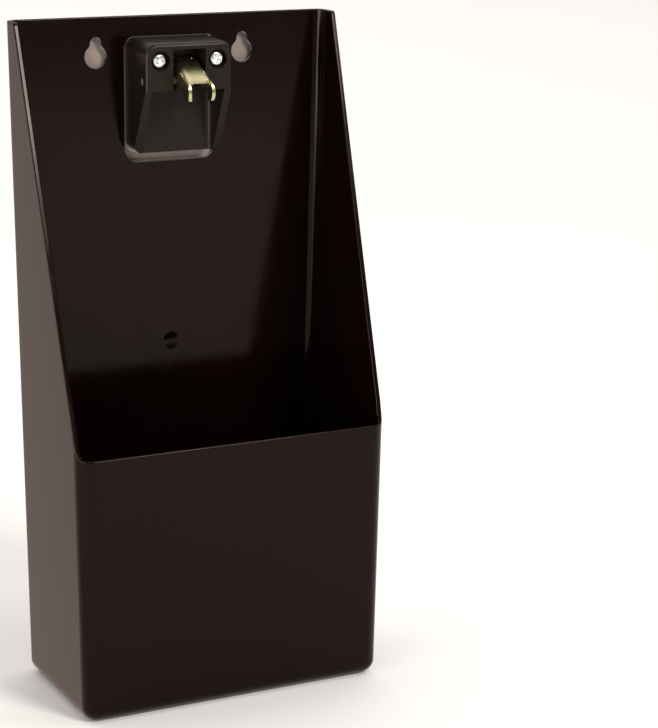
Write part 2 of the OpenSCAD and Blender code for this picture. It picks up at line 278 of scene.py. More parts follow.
def even_normals(piece: Piece) -> None:
    """Let the large faces set the shading, so that flats stay flat beside their rounded edges.

    Args:
        piece: the piece.
    """
    weighted = piece.modifiers.new("even_normals", "WEIGHTED_NORMAL")
    weighted.keep_sharp = True
    weighted.weight = NORMAL_WEIGHT


def soften(piece: Piece, edge: float) -> None:
    """Round the sharp edges of a piece.

    Args:
        piece: the piece.
        edge: width of the rounding in millimetres.
    """
    bevel = piece.modifiers.new("soft_edges", "BEVEL")
    bevel.limit_method = "ANGLE"
    bevel.angle_limit = math.radians(SHARP_DEGREES)
    bevel.width = edge * MM
    bevel.segments = EDGE_SEGMENTS
    bevel.miter_outer = "MITER_ARC"
    even_normals(piece)


def carve(piece: Piece, cutters: list[Piece]) -> None:
    """Cut closed shapes out of a piece, one after the other, and take the cutters away.

    Args:
        piece: the piece, whose mesh is replaced by the cut one.
        cutters: the shapes to cut out.
    """
    for cutter in cutters:
        cut = piece.modifiers.new("cut", "BOOLEAN")
        cut.operation = "DIFFERENCE"
        cut.solver = "EXACT"
        cut.object = cutter
    shown = piece.evaluated_get(bpy.context.evaluated_depsgraph_get())
    piece.data = bpy.data.meshes.new_from_object(shown)
    piece.data.name = piece.name
    piece.modifiers.clear()
    for cutter in cutters:
        bpy.data.objects.remove(cutter)


def softened_copy(node: Piece, name: str, edge: float) -> Piece:
    """Copy a CAD node's mesh, weld its loose triangles and round its sharp edges.

    Args:
        node: the CAD object.
        name: name of the new piece.
        edge: width of the rounding in millimetres.

    Returns:
        The new object.
    """
    mesh = node.data.copy()
    mesh.name = name
    kept = mesh.attributes.get("custom_normal")
    if kept is not None:
        mesh.attributes.remove(kept)
    piece = finish_mesh(name, mesh, flat_angle=FLAT_DEGREES)
    soften(piece, edge)
    return piece


def set_inputs(node: Node, values: Values) -> None:
    """Set inputs of a node by their names."""
    for label, value in values.items():
        node.inputs[label].default_value = value


def add_node(tree: Tree, kind: str, values: Values | None = None) -> Node:
    """Add a shader node.

    Args:
        tree: tree that the node is added to.
        kind: type of the node, without the prefix that all have.
        values: values of its inputs by their names.

    Returns:
        The node.
    """
    node = tree.nodes.new("ShaderNode" + kind)
    set_inputs(node, values or {})
    return node


def join(tree: Tree, *links: tuple[bpy.types.NodeSocket, bpy.types.NodeSocket]) -> None:
    """Link pairs of an output and an input."""
    for output, target in links:
        tree.links.new(output, target)


def new_paint(name: str) -> tuple[Material, Tree, Node]:
    """Make a material with nodes.

    Args:
        name: name of the material.

    Returns:
        The material, its tree and its shader.
    """
    paint = bpy.data.materials.new(name)
    paint.use_nodes = True
    return paint, paint.node_tree, paint.node_tree.nodes["Principled BSDF"]


class Shades:
    """Node groups that several finishes share. They put out values that change over a surface."""

    @staticmethod
    def group(name: str, inputs: dict[str, float], outputs: list[str]) -> tuple[Tree, Node, Node]:
        """Make an empty group with plain number sockets.

        Args:
            name: name of the group.
            inputs: names of the inputs with their first values.
            outputs: names of the outputs.

        Returns:
            The group, its input node and its output node.
        """
        tree = bpy.data.node_groups.new(name, "ShaderNodeTree")
        for label, value in inputs.items():
            socket = tree.interface.new_socket(label, in_out="INPUT", socket_type="NodeSocketFloat")
            socket.default_value = value
        for label in outputs:
            tree.interface.new_socket(label, in_out="OUTPUT", socket_type="NodeSocketFloat")
        return tree, tree.nodes.new("NodeGroupInput"), tree.nodes.new("NodeGroupOutput")

    @classmethod
    def relief(cls, name: str, lay: Lay, fine: Values, cloud: Values, slow: float) -> Tree:
        """Fine noise, stretched along its lay and put out as a height, and slower noise, put out as a tone.

        Args:
            name: name of the group.
            lay: direction of the fine noise.
            fine: values of the fine noise.
            cloud: values of the slower noise.
            slow: scale of the slower noise, as a share of the fine one's.

        Returns:
            The group, with input Scale and outputs Height and Tone.
        """
        tree, start, end = cls.group(name, {"Scale": 2500.0}, ["Height", "Tone"])
        place = add_node(tree, "TexCoord")
        stretch = add_node(tree, "Mapping", {"Scale": lay.value})
        near = add_node(tree, "TexNoise", fine)
        far = add_node(tree, "TexNoise", cloud)
        slower = add_node(tree, "Math")
        slower.operation = "MULTIPLY"
        slower.inputs[1].default_value = slow
        join(
            tree,
            (place.outputs["Object"], stretch.inputs["Vector"]),
            (place.outputs["Object"], far.inputs["Vector"]),
            (stretch.outputs["Vector"], near.inputs["Vector"]),
            (start.outputs["Scale"], near.inputs["Scale"]),
            (start.outputs["Scale"], slower.inputs[0]),
            (slower.outputs[0], far.inputs["Scale"]),
            (near.outputs["Fac"], end.inputs["Height"]),
            (far.outputs["Fac"], end.inputs["Tone"]),
        )
        return tree

    @classmethod
    @cache
    def grain(cls) -> Tree:
        """Return the relief of a moulding's skin, the same in all directions."""
        fine = {"Detail": 3.0, "Roughness": 0.6}
        return cls.relief("fine_grain", Lay.ALL_ROUND, fine, {"Detail": 4.0}, slow=0.02)

    @classmethod
    @cache
    def lines(cls, lay: Lay) -> Tree:
        """Return the relief of rolled or drawn metal, with its lines along the lay."""
        name = "metal_lines_" + lay.name.lower()
        return cls.relief(name, lay, {"Detail": 4.0}, {"Detail": 3.0}, slow=0.06)

    @classmethod
    @cache
    def handling(cls) -> Tree:
        """Faint smears and rubbed spots of a part in use: soft noise in streaks, between two levels.

        Returns:
            The group, with inputs Scale, Low and High and output Level.
        """
        inputs = {"Scale": 30.0, "Low": 0.2, "High": 0.4}
        tree, start, end = cls.group("handling", inputs, ["Level"])
        place = add_node(tree, "TexCoord")
        smear = add_node(tree, "TexNoise", {"Detail": 6.0, "Roughness": 0.62, "Distortion": 0.8})
        spread = add_node(tree, "MapRange", {"From Min": 0.32, "From Max": 0.72})
        spread.interpolation_type = "SMOOTHSTEP"
        join(
            tree,
            (place.outputs["Object"], smear.inputs["Vector"]),
            (start.outputs["Scale"], smear.inputs["Scale"]),
            (smear.outputs["Fac"], spread.inputs["Value"]),
            (start.outputs["Low"], spread.inputs["To Min"]),
            (start.outputs["High"], spread.inputs["To Max"]),
            (spread.outputs["Result"], end.inputs["Level"]),
        )
        return tree


@dataclass(frozen=True)
class Finish:
    """Two tones that drift into each other, a fine relief, and handling marks in the gloss."""

    name: str
    slot: str
    first: Triple
    second: Triple
    relief_scale: float
    relief_height: float
    gloss: tuple[float, float]

    def start(self, relief: Tree, strength: float, smears: float) -> tuple[Material, Node, Node]:
        """Make the material with its relief and its gloss.

        Args:
            relief: group of the relief.
            strength: strength of the relief.
            smears: scale of the handling marks.

        Returns:
            The material, its shader and the relief's node.
        """
        paint, tree, shader = new_paint(self.name)
        fine = add_node(tree, "Group")
        fine.node_tree = relief
        set_inputs(fine, {"Scale": self.relief_scale})
        smear = add_node(tree, "Group")
        smear.node_tree = Shades.handling()
        set_inputs(smear, {"Scale": smears, "Low": self.gloss[0], "High": self.gloss[1]})
        bump = add_node(tree, "Bump", {"Strength": strength, "Distance": self.relief_height * MM})
        join(
            tree,
            (smear.outputs["Level"], shader.inputs["Roughness"]),
            (fine.outputs["Height"], bump.inputs["Height"]),
            (bump.outputs["Normal"], shader.inputs["Normal"]),
        )
        return paint, shader, fine


@dataclass(frozen=True)
class Plastic(Finish):
    """A moulded plastic, whose sheen has a tint."""

    specular: float
    sheen: Triple

    def material(self) -> Material:
        """Build the material.

        Returns:
            The material, with its shader in its own tree.
        """
        paint, shader, fine = self.start(Shades.grain(), strength=0.35, smears=30.0)
        set_inputs(shader, {"Specular IOR Level": self.specular, "Specular Tint": (*self.sheen, 1.0)})
        tone = add_node(paint.node_tree, "Mix")
        tone.data_type = "RGBA"
        set_inputs(tone, {"A": (*self.first, 1.0), "B": (*self.second, 1.0)})
        join(
            paint.node_tree,
            (fine.outputs["Tone"], tone.inputs["Factor"]),
            (tone.outputs["Result"], shader.inputs["Base Color"]),
        )
        return paint


@dataclass(frozen=True)
class Metal(Finish):
    """A plated or bare metal, with the lines of its rolling or drawing."""

    lay: Lay
    drift: tuple[float, float] = (0.36, 0.64)

    def material(self) -> Material:
        """Build the material.

        Returns:
            The material, with its shader in its own tree.
        """
        paint, shader, fine = self.start(Shades.lines(self.lay), strength=0.3, smears=160.0)
        set_inputs(shader, {"Metallic": 1.0})
        ramp = add_node(paint.node_tree, "ValToRGB")
        stops = ramp.color_ramp.elements
        stops[0].position, stops[1].position = self.drift
        stops[0].color, stops[1].color = (*self.first, 1.0), (*self.second, 1.0)
        join(
            paint.node_tree,
            (fine.outputs["Tone"], ramp.inputs["Fac"]),
            (ramp.outputs["Color"], shader.inputs["Base Color"]),
        )
        return paint


TRAY_PLASTIC = Plastic(
    name="tray_gloss_black",
    slot="tray_black",
    first=(0.003, 0.0009, 0.0006),
    second=(0.0038, 0.0012, 0.0009),
    relief_scale=2600.0,
    relief_height=0.002,
    gloss=(0.11, 0.19),
    specular=0.135,
    sheen=(1.0, 0.82, 0.77),
)
BLOCK_PLASTIC = Plastic(
    name="block_satin_black",
    slot="block_black",
    first=(0.0068, 0.0046, 0.0036),
    second=(0.0096, 0.0066, 0.0053),
    relief_scale=3800.0,
    relief_height=0.012,
    gloss=(0.32, 0.4),
    specular=0.21,
    sheen=(1.0, 0.87, 0.82),
)
CLAW_PLATING = Metal(
    name="claw_yellow_zinc",
    slot="claw_zinc",
    first=(0.46, 0.45, 0.25),
    second=(0.5, 0.43, 0.27),
    relief_scale=1800.0,
    relief_height=0.002,
    gloss=(0.22, 0.3),
    lay=Lay.ALONG_Y,
)
PIN_STEEL = Metal(
    name="pin_drawn_steel",
    slot="pin_steel",
    first=(0.55, 0.52, 0.49),
    second=(0.63, 0.6, 0.57),
    relief_scale=3200.0,
    relief_height=0.008,
    gloss=(0.42, 0.55),
    lay=Lay.ALONG_X,
)
SPRING_WIRE = Metal(
    name="spring_bright_wire",
    slot="spring_steel",
    first=(0.56, 0.56, 0.56),
    second=(0.66, 0.66, 0.65),
    relief_scale=3200.0,
    relief_height=0.006,
    gloss=(0.2, 0.32),
    lay=Lay.ALL_ROUND,
)
SCREW_ZINC = Metal(
    name="screw_bright_zinc",
    slot="screw_zinc",
    first=(0.74, 0.76, 0.78),
    second=(0.84, 0.86, 0.88),
    relief_scale=2600.0,
    relief_height=0.008,
    gloss=(0.16, 0.3),
    lay=Lay.ALL_ROUND,
)


def dress(piece: Piece, finish: Plastic | Metal, body: Body, node: str) -> None:
    """Give a piece its finish, let it ride on its body and stand for its CAD node.

    Args:
        piece: the piece.
        finish: its finish.
        body: the body that carries it.
        node: the CAD node that it stands for.
    """
    piece.data.materials.clear()
    piece.data.materials.append(finish.material())
    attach(piece, body.value)
    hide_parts(node)
    LOG.info("%s rides on %s, %d faces", piece.name, body.value, len(piece.data.polygons))


@dataclass
class Columns:
    """Places along half of the tray's level section.

    A place is a run along the side and the front corner's arc, negative on the rear corner's arc. On the
    flat front and the flat back, a share runs from 0 at the corner to 1 at the middle plane.
    """

    run: Points
    front: Points
    back: Points

    @classmethod
    def of(cls, run: Points) -> Columns:
        """Make places on the arcs and the side."""
        return cls(run, np.zeros_like(run), np.zeros_like(run))


@dataclass
class CatchTray:
    """The moulded tray: one wall of even thickness that makes a back, two wings and a bin."""

    top_width: float = 155.0
    floor_width: float = 144.4
    height: float = 300.0
    depth: float = 76.0
    rim_height: float = 120.0
    wing_depth: float = 13.0
    rim_land: float = 4.0
    foot_radius: float = 5.0
    wing_radius: float = 2.0
    wall: float = 2.2
    rear_radius: float = 6.0
    front_radius: float = 7.2
    floor_radius: float = 6.0
    above_screws: float = 18.0
    lip: float = 0.5
    hole_lip: float = 0.35
    keyhole_spacing: float = 71.2
    keyhole_diameter: float = 10.4
    keyhole_slot: float = 5.2
    keyhole_rise: float = 6.0
    keyhole_above: float = 0.5
    keyhole_blend: float = 1.5
    cutout_half: float = 22.2
    cutout_top: float = 8.8
    cutout_low: float = -47.5
    cutout_radii: tuple[float, float] = (5.3, 6.0)
    gate_radius: float = 4.5
    gate_depth: float = 0.6
    gate_power: float = 1.5
    dense_from: float = 0.86
    wing_points: tuple[int, int] = (26, 16)
    wing_edge_points: tuple[int, int, int] = (12, 30, 9)
    rear_points: int = 13
    flat_points: int = 13
    front_points: int = 7
    bin_points: int = 14
    floor_points: int = 11
    lip_points: int = 6
    keyhole_points: int = 144
    cutout_points: int = 14
    gate_points: tuple[int, int] = (10, 49)

    def __post_init__(self) -> None:
        """Work out the floor's level, the side's length, the wings' edge and the shares of a flat."""
        self.floor_z = self.above_screws - self.height
        self.side = self.depth - self.rear_radius - self.front_radius
        self.rear_arc = QUARTER_TURN * self.rear_radius
        foot = np.array([self.depth - self.rim_land, self.floor_z + self.rim_height])
        top = np.array([self.wing_depth, self.above_screws])
        way = (top - foot) / np.linalg.norm(top - foot)
        self.edge_turn = math.pi - math.acos(way[0])
        reach = math.tan(self.edge_turn / 2)
        self.foot_centre = foot + np.array([self.foot_radius * reach, self.foot_radius])
        self.wing_centre = top - np.array([self.wing_radius * reach, self.wing_radius])
        self.flat_share = np.linspace(0.0, 1.0, self.flat_points)

    def half_width(self, z: Points) -> Points:
        """Half of the outer width at a height, which grows upwards with the moulding's draft."""
        grown = (z - self.floor_z) * (self.top_width - self.floor_width)
        return self.floor_width / 2 + grown / 2 / self.height

    def skin(self, at: Columns, z: Points, inset: Points) -> tuple[Points, Points, Points]:
        """Places on the wall, measured inwards from its outer face.

        On the rear arc a = pi/2 + run/Rr, on the front arc b = (run - side)/Rf. The point is
        x = half + Rr(sin a - 1) + Rf(cos b - 1) - flats, depth = Rr(1 - cos a) + straight run + Rf sin b,
        moved inwards along the normal (sin a cos b, sin b - cos a).

        Args:
            at: places along the section.
            z: heights.
            inset: distances inwards from the outer face.

        Returns:
            Points, level outward normals and level tangents, each with 3 coordinates.
        """
        half = self.half_width(z)
        a = QUARTER_TURN + np.clip(at.run, -self.rear_arc, 0.0) / self.rear_radius
        b = np.clip((at.run - self.side) / self.front_radius, 0.0, QUARTER_TURN)
        flats = at.front * (half - self.front_radius) + at.back * (half - self.rear_radius)
        x = half + self.rear_radius * (np.sin(a) - 1) + self.front_radius * (np.cos(b) - 1) - flats
        straight = np.clip(at.run, 0.0, self.side)
        d = self.rear_radius * (1 - np.cos(a)) + straight + self.front_radius * np.sin(b)
        nx, nd = np.sin(a) * np.cos(b), np.sin(b) - np.cos(a)
        level = np.zeros(np.broadcast(x, d, z).shape)
        points = np.stack([x - inset * nx + level, inset * nd - d + level, z + level], axis=-1)
        normals = np.stack([nx + level, level - nd, level], axis=-1)
        tangents = np.stack([level - nd, level - nx, level], axis=-1)
        return points, normals, tangents

    def run_at(self, depth: Points) -> Points:
        """Run along the section where the wall reaches a depth: the straight run + Rf asin(past/Rf).

        Args:
            depth: depths on the side or on the front arc.

        Returns:
            The runs.
        """
        past = np.clip((depth - self.depth + self.front_radius) / self.front_radius, 0.0, 1.0)
        flat = np.minimum(depth - self.rear_radius, self.side)
        return flat + self.front_radius * np.arcsin(past)

    def wing_edge(self) -> tuple[Points, Points, Points]:
        """Edge of the wing, set in by the lip: an arc at the foot, a straight run and an arc at the top.

        Returns:
            Depths, heights and outward normals as depth and height, from the rim to the top edge.
        """
        at_foot, on_straight, at_top = self.wing_edge_points
        foot_turn = np.linspace(0.0, self.edge_turn, at_foot)
        foot_way = np.column_stack([np.sin(foot_turn), np.cos(foot_turn)])
        foot = self.foot_centre - (self.foot_radius + self.lip) * foot_way
        top_turn = np.linspace(self.edge_turn, 0.0, at_top)
        top_way = np.column_stack([np.sin(top_turn), np.cos(top_turn)])
        top = self.wing_centre + (self.wing_radius - self.lip) * top_way
        share = np.linspace(0.0, 1.0, on_straight)[1:-1, None]
        straight = foot[-1] * (1 - share) + top[0] * share
        edge = np.concatenate([foot, straight, top])
        way = np.concatenate([foot_way, np.repeat(foot_way[-1:], len(straight), axis=0), top_way])
        return edge[:, 0], edge[:, 1], way

    def keyhole_loop(self, side: int) -> Points:
        """Outline of a keyhole in polar form: the larger of a circle and an upright capsule, softly joined.

        Args:
            side: -1 for the left keyhole, 1 for the right one.

        Returns:
            Array of x and z, anticlockwise.
        """
        turn = np.linspace(0.0, FULL_TURN, self.keyhole_points, endpoint=False)
        cosine, sine = np.cos(turn), np.sin(turn)
        circle, half = self.keyhole_diameter / 2, self.keyhole_slot / 2
        rise, blend = self.keyhole_rise, self.keyhole_blend
        cap = rise * sine + np.sqrt(np.maximum(half**2 - (rise * cosine) ** 2, 0.0))
        flank = half / np.maximum(np.abs(cosine), NEARLY_ZERO)
        capsule = np.where(flank * np.abs(sine) <= rise, flank, cap)
        capsule = np.where(sine > 0, capsule, half)
        gap = np.abs(capsule - circle)
        join_rise = np.where(gap < blend, (blend - gap) ** 2 / (4 * blend), 0.0)
        radius = np.maximum(capsule, circle) + join_rise
        x = side * self.keyhole_spacing / 2 + radius * cosine
        return np.column_stack([x, self.keyhole_above + radius * sine])

    def cutout_loop(self) -> Points:
        """Return the outline of the opening round the block as x and z, anticlockwise."""
        outline = (self.cutout_half, self.cutout_top, self.cutout_low)
        return np.column_stack(rounded_outline(*outline, self.cutout_radii, self.cutout_points))

    def lip_arcs(self, lip: float) -> tuple[Points, Points]:
        """Rounded lips on both faces of the wall, as quarter turns p.

        Args:
            lip: radius of the lips.

        Returns:
            The values of sin p, and the distances through the wall, lip(1 - cos p) from each face.
        """
        turn = np.linspace(0.0, QUARTER_TURN, self.lip_points)
        sine, inward = np.sin(turn), lip * (1 - np.cos(turn))
        return np.concatenate([sine, sine[::-1]]), np.concatenate([inward, self.wall - inward[::-1]])

    def hole_wall(self, skin: Skin, loop: Points) -> Points:
        """Add a hole's wall with rounded lips: the outline moved outwards by lip(1 - sin p).

        Args:
            skin: skin that the wall is added to.
            loop: outline of the hole.

        Returns:
            The outline of the lip, where the flat faces begin.
        """
        ahead = np.roll(loop, -1, axis=0) - np.roll(loop, 1, axis=0)
        ahead /= np.linalg.norm(ahead, axis=1, keepdims=True)
        outward = np.column_stack([ahead[:, 1], -ahead[:, 0]])
        sine, depth = self.lip_arcs(self.hole_lip)
        out = self.hole_lip * (1 - sine)
        flat = loop + out[:, None, None] * outward
        flat = np.concatenate([flat, flat[:, :1]], axis=1)
        level = np.broadcast_to(-depth[:, None], flat.shape[:2])
        skin.grid(np.stack([flat[..., 0], level, flat[..., 1]], axis=-1))
        return loop + self.hole_lip * outward

    def gate_dimple(self, skin: Skin, z: float) -> Points:
        """Add the gate's shallow dimple: depth falls by g(1 - (r/R)^2)^1.5 towards its middle.

        Args:
            skin: skin that the dimple is added to.
            z: height of its middle.

        Returns:
            The outline of the dimple.
        """
        rings, around = self.gate_points
        share = np.linspace(0.0, 1.0, rings)[:, None]
        depth = self.wall - self.gate_depth * (1 - share**2) ** self.gate_power
        points = lathe(0.0, self.gate_radius * share, -depth, np.linspace(0.0, FULL_TURN, around))
        points[..., 2] += z
        skin.grid(points)
        return points[-1, :-1][:, [0, 2]]

    def build(self) -> Piece:
        """Build the tray as one closed skin.

        Returns:
            The tray's object.
        """
        skin = Skin()
        edge_depth, edge_z, edge_way = self.wing_edge()
        sparse, dense = self.wing_points
        side = np.linspace(0.0, self.dense_from, sparse)
        share = np.concatenate([side, np.linspace(self.dense_from, 1.0, dense)[1:]])
        rear = np.linspace(-self.rear_arc, 0.0, self.rear_points)[:-1]
        end = self.run_at(edge_depth)
        wing_run = np.concatenate([np.tile(rear, (len(end), 1)), end[:, None] * share], axis=1)
        wing = Columns.of(wing_run)
        wing_z = np.broadcast_to(edge_z[:, None], wing_run.shape)

        flats = self.flat_points - 1
        full = self.side + QUARTER_TURN * self.front_radius
        to_front = np.linspace(end[0], full, self.front_points)[1:]
        bin_run = np.concatenate([wing_run[0], to_front, np.full(flats, full)])
        bin_front = np.concatenate([np.zeros(len(bin_run) - flats), self.flat_share[1:]])
        around = Columns(bin_run, bin_front, np.zeros_like(bin_run))
        bin_rows = np.linspace(self.floor_z + self.floor_radius, edge_z[0], self.bin_points)
        bin_z = np.broadcast_to(bin_rows[:, None], (len(bin_rows), len(bin_run)))

        loop = Columns(
            np.concatenate([np.full(flats, -self.rear_arc), bin_run]),
            np.concatenate([np.zeros(flats), bin_front]),
            np.concatenate([self.flat_share[:0:-1], np.zeros_like(bin_run)]),
        )
        turn = np.linspace(0.0, QUARTER_TURN, self.floor_points)[:, None]
        low_z = self.floor_z + self.floor_radius * (1 - np.sin(turn))
        low_inset = self.floor_radius * (1 - np.cos(turn))

        for inset in (0.0, self.wall):
            skin.pair(self.skin(wing, wing_z, inset)[0])
            skin.pair(self.skin(around, bin_z, inset)[0])
            low = self.skin(loop, low_z, low_inset + inset * np.cos(turn))[0]
            low[..., 2] += inset * np.sin(turn)
            skin.pair(low)
            ring = low[-1]
            skin.face(np.concatenate([ring, ring[-2:0:-1] * MIRROR]))

        self.add_rim(skin, around, wing, wing_z, edge_way)
        self.add_back(skin, np.concatenate([bin_rows, edge_z[1:]]))
        tray = skin.build("catch_tray_shell")
        even_normals(tray)
        return tray

    def add_rim(self, skin: Skin, around: Columns, wing: Columns, wing_z: Points, edge_way: Points) -> None:
        """Close the wall along the rim, the wings' edges and the top with a flat between two rounded lips.

        A lip runs from the face along lip(sin p) across the edge and lip(1 - cos p) into the wall.

        Args:
            skin: skin that the rim is added to.
            around: places round the bin.
            wing: places on the wing, row by row.
            wing_z: heights of the wing's rows.
            edge_way: outward normals of the wing's edge.
        """
        count = wing.run.shape[1]
        back = self.flat_share[1:]
        before, after = len(around.run) - count, count - 1 + len(back)
        on_bin = slice(None, count - 1, -1)
        at_back = np.full(len(back), -self.rear_arc)
        run = np.concatenate([around.run[on_bin], wing.run[:, -1], wing.run[-1, -2::-1], at_back])
        front = np.concatenate([around.front[on_bin], np.zeros(len(run) - before)])
        places = Columns(run, front, np.concatenate([np.zeros(len(run) - len(back)), back]))
        z = np.concatenate([np.full(before, wing_z[0, 0]), wing_z[:, -1], np.full(after, wing_z[-1, 0])])
        up = np.array([[0.0, 1.0]])
        way = np.concatenate([np.repeat(up, before, axis=0), edge_way, np.repeat(up, after, axis=0)])
        points, normals, tangents = self.skin(places, z, 0.0)
        edge = way[:, :1] * tangents + way[:, 1:] * np.array([[0.0, 0.0, 1.0]])
        sine, inward = self.lip_arcs(self.lip)
        rise = self.lip * sine
        skin.pair(points[:, None] + rise[:, None] * edge[:, None] - inward[:, None] * normals[:, None])

    def add_back(self, skin: Skin, rows: Points) -> None:
        """Add the flat back with its keyholes, the opening for the block and the gate's dimple.

        Args:
            skin: skin that the back is added to.
            rows: heights of the places on its upright edges.
        """
        reach = self.half_width(rows) - self.rear_radius
        low = self.flat_share[:-1] * reach[0]
        top = self.flat_share[-2::-1] * reach[-1]
        x = np.concatenate([low, reach, top])
        z = np.concatenate([np.full(len(low), rows[0]), rows, np.full(len(top), rows[-1])])
        right = np.column_stack([x, z])
        outline = np.concatenate([right, right[-2:0:-1] * MIRROR[:2]])
        loops = (self.cutout_loop(), self.keyhole_loop(-1), self.keyhole_loop(1))
        holes = [self.hole_wall(skin, loop) for loop in loops]
        skin.plate([outline, *holes], 0.0)
        dimple = self.gate_dimple(skin, self.floor_z + self.height / 2)
        skin.plate([outline, *holes, dimple], self.wall)


@dataclass
class OpenerBlock:
    """The moulded block: a drafted body with rounded corners, opened for the cap, claw, screws and pin."""

    width: float = 43.2
    draft: float = 0.9
    depth: float = 24.0
    level: float = 4.4
    above: float = 8.5
    below: float = 42.9
    corner: float = 5.0
    edge: float = 1.6
    lip_depth: float = 9.4
    boss_below: float = 13.4
    cheek_step: float = 1.0
    cheek: float = 3.2
    mouth_back: float = 7.0
    mouth_radius: float = 3.0
    slot_half: float = 7.8
    slot_back: float = 13.0
    slot_roof: float = 3.6
    screw_spacing: float = SCREW_SPACING
    screw_hole: float = 2.0
    counterbore: float = 4.4
    counterbore_depth: float = 3.4
    pin_hole: float = 2.02
    pin_depth: float = PIN_DEPTH
    pin_below: float = PIN_BELOW
    soft_edge: float = 0.3
    spare: float = 6.0
    overcut: float = 1.0
    corner_points: int = 13
    edge_points: int = 9
    mouth_points: int = 10
    bore_points: int = 64
    pin_points: int = 48

    def body(self) -> Piece:
        """Build the body, whose front edge is rounded: inset edge(1 - cos t) at depth - edge(1 - sin t).

        Returns:
            The body's object.
        """
        turn = np.linspace(0.0, QUARTER_TURN, self.edge_points)
        depth = np.concatenate([[0.0, self.level], self.depth - self.edge * (1 - np.sin(turn))])[:, None]
        inset = np.concatenate([[0.0, 0.0], self.edge * (1 - np.cos(turn))])[:, None]
        half = self.width / 2 - self.draft * depth / self.depth - inset
        fall = np.clip((depth - self.level) / (self.depth - self.level), 0.0, 1.0)
        top = self.above - self.draft * fall - inset
        radius = self.corner - inset
        x, z = rounded_outline(half, top, -self.below + inset, (radius, radius), self.corner_points)
        skin = Skin()
        skin.tube(np.stack([x, np.broadcast_to(-depth, x.shape), z], axis=-1))
        return skin.build("opener_block_body")

    def cutter(self, near: Points, far: Points) -> Piece:
        """Make a cutter, a closed prism.

        Args:
            near: outline of one end.
            far: outline of the other end, with as many points.

        Returns:
            The cutter.
        """
        skin = Skin()
        skin.tube(np.stack([near, far]))
        return skin.build("cutter")

    def across(self, profile: list[tuple[float, float]] | Points, reach: float) -> Piece:
        """Make a cutter from a profile drawn across the block.

        Args:
            profile: its depths and heights.
            reach: how far it runs to each side.

        Returns:
            The cutter.
        """
        flat = np.array(profile)
        near = np.column_stack([np.full(len(flat), -reach), -flat[:, 0], flat[:, 1]])
        return self.cutter(near, near * MIRROR)

    def mouth(self) -> Piece:
        """Make the cutter for the mouth, with arcs r(1 - sin t), r(1 - cos t) in its rear corners.

        Returns:
            The cutter.
        """
        half = self.width / 2 - self.draft - self.cheek
        front = self.depth + self.spare
        sweep = np.linspace(0.0, QUARTER_TURN, self.mouth_points)
        x = half - self.mouth_radius * (1 - np.sin(sweep))
        right = np.column_stack([x, self.mouth_back + self.mouth_radius * (1 - np.cos(sweep))])
        plan = np.concatenate([right, [[half, front], [-half, front]], right[::-1] * MIRROR[:2]])
        low = np.column_stack([plan[:, 0], -plan[:, 1], np.full(len(plan), -self.below - self.spare)])
        high = low.copy()
        high[:, 2] = -self.boss_below
        return self.cutter(low, high)

    def bore(self, middle: float, radius: float, start: float, stop: float) -> Piece:
        """Make the cutter for a round hole about x = middle, from one depth to another."""
        turn = np.linspace(0.0, FULL_TURN, self.bore_points, endpoint=False)
        return self.cutter(*lathe(middle, np.full((2, 1), radius), np.array([[-start], [-stop]]), turn))

    def build(self) -> Piece:
        """Carve the openings out of the body and round their edges.

        Returns:
            The block's object.
        """
        front, foot = self.depth + self.spare, -self.below - self.spare
        brow = self.depth - self.cheek_step
        cheeks = [
            (self.lip_depth, foot),
            (front, foot),
            (front, -self.boss_below),
            (brow, -self.boss_below),
            (self.lip_depth, -self.below),
        ]
        roof, under = self.above - self.slot_roof, -self.boss_below - self.overcut
        slot = [(self.slot_back, under), (front, under), (front, roof), (self.slot_back, roof)]
        turn = np.linspace(0.0, FULL_TURN, self.pin_points, endpoint=False)
        pin_height = self.pin_hole * np.sin(turn) - self.pin_below
        pin = np.column_stack([self.pin_depth + self.pin_hole * np.cos(turn), pin_height])
        cutters = [self.across(cheeks, self.width), self.mouth(), self.across(slot, self.slot_half)]
        for side in (-1, 1):
            middle = side * self.screw_spacing / 2
            cutters.append(self.bore(middle, self.screw_hole, -self.overcut, front))
            cutters.append(self.bore(middle, self.counterbore, self.depth - self.counterbore_depth, front))
        cutters.append(self.across(pin, self.width))
        block = self.body()
        carve(block, cutters)
        soften(block, self.soft_edge)
        return block


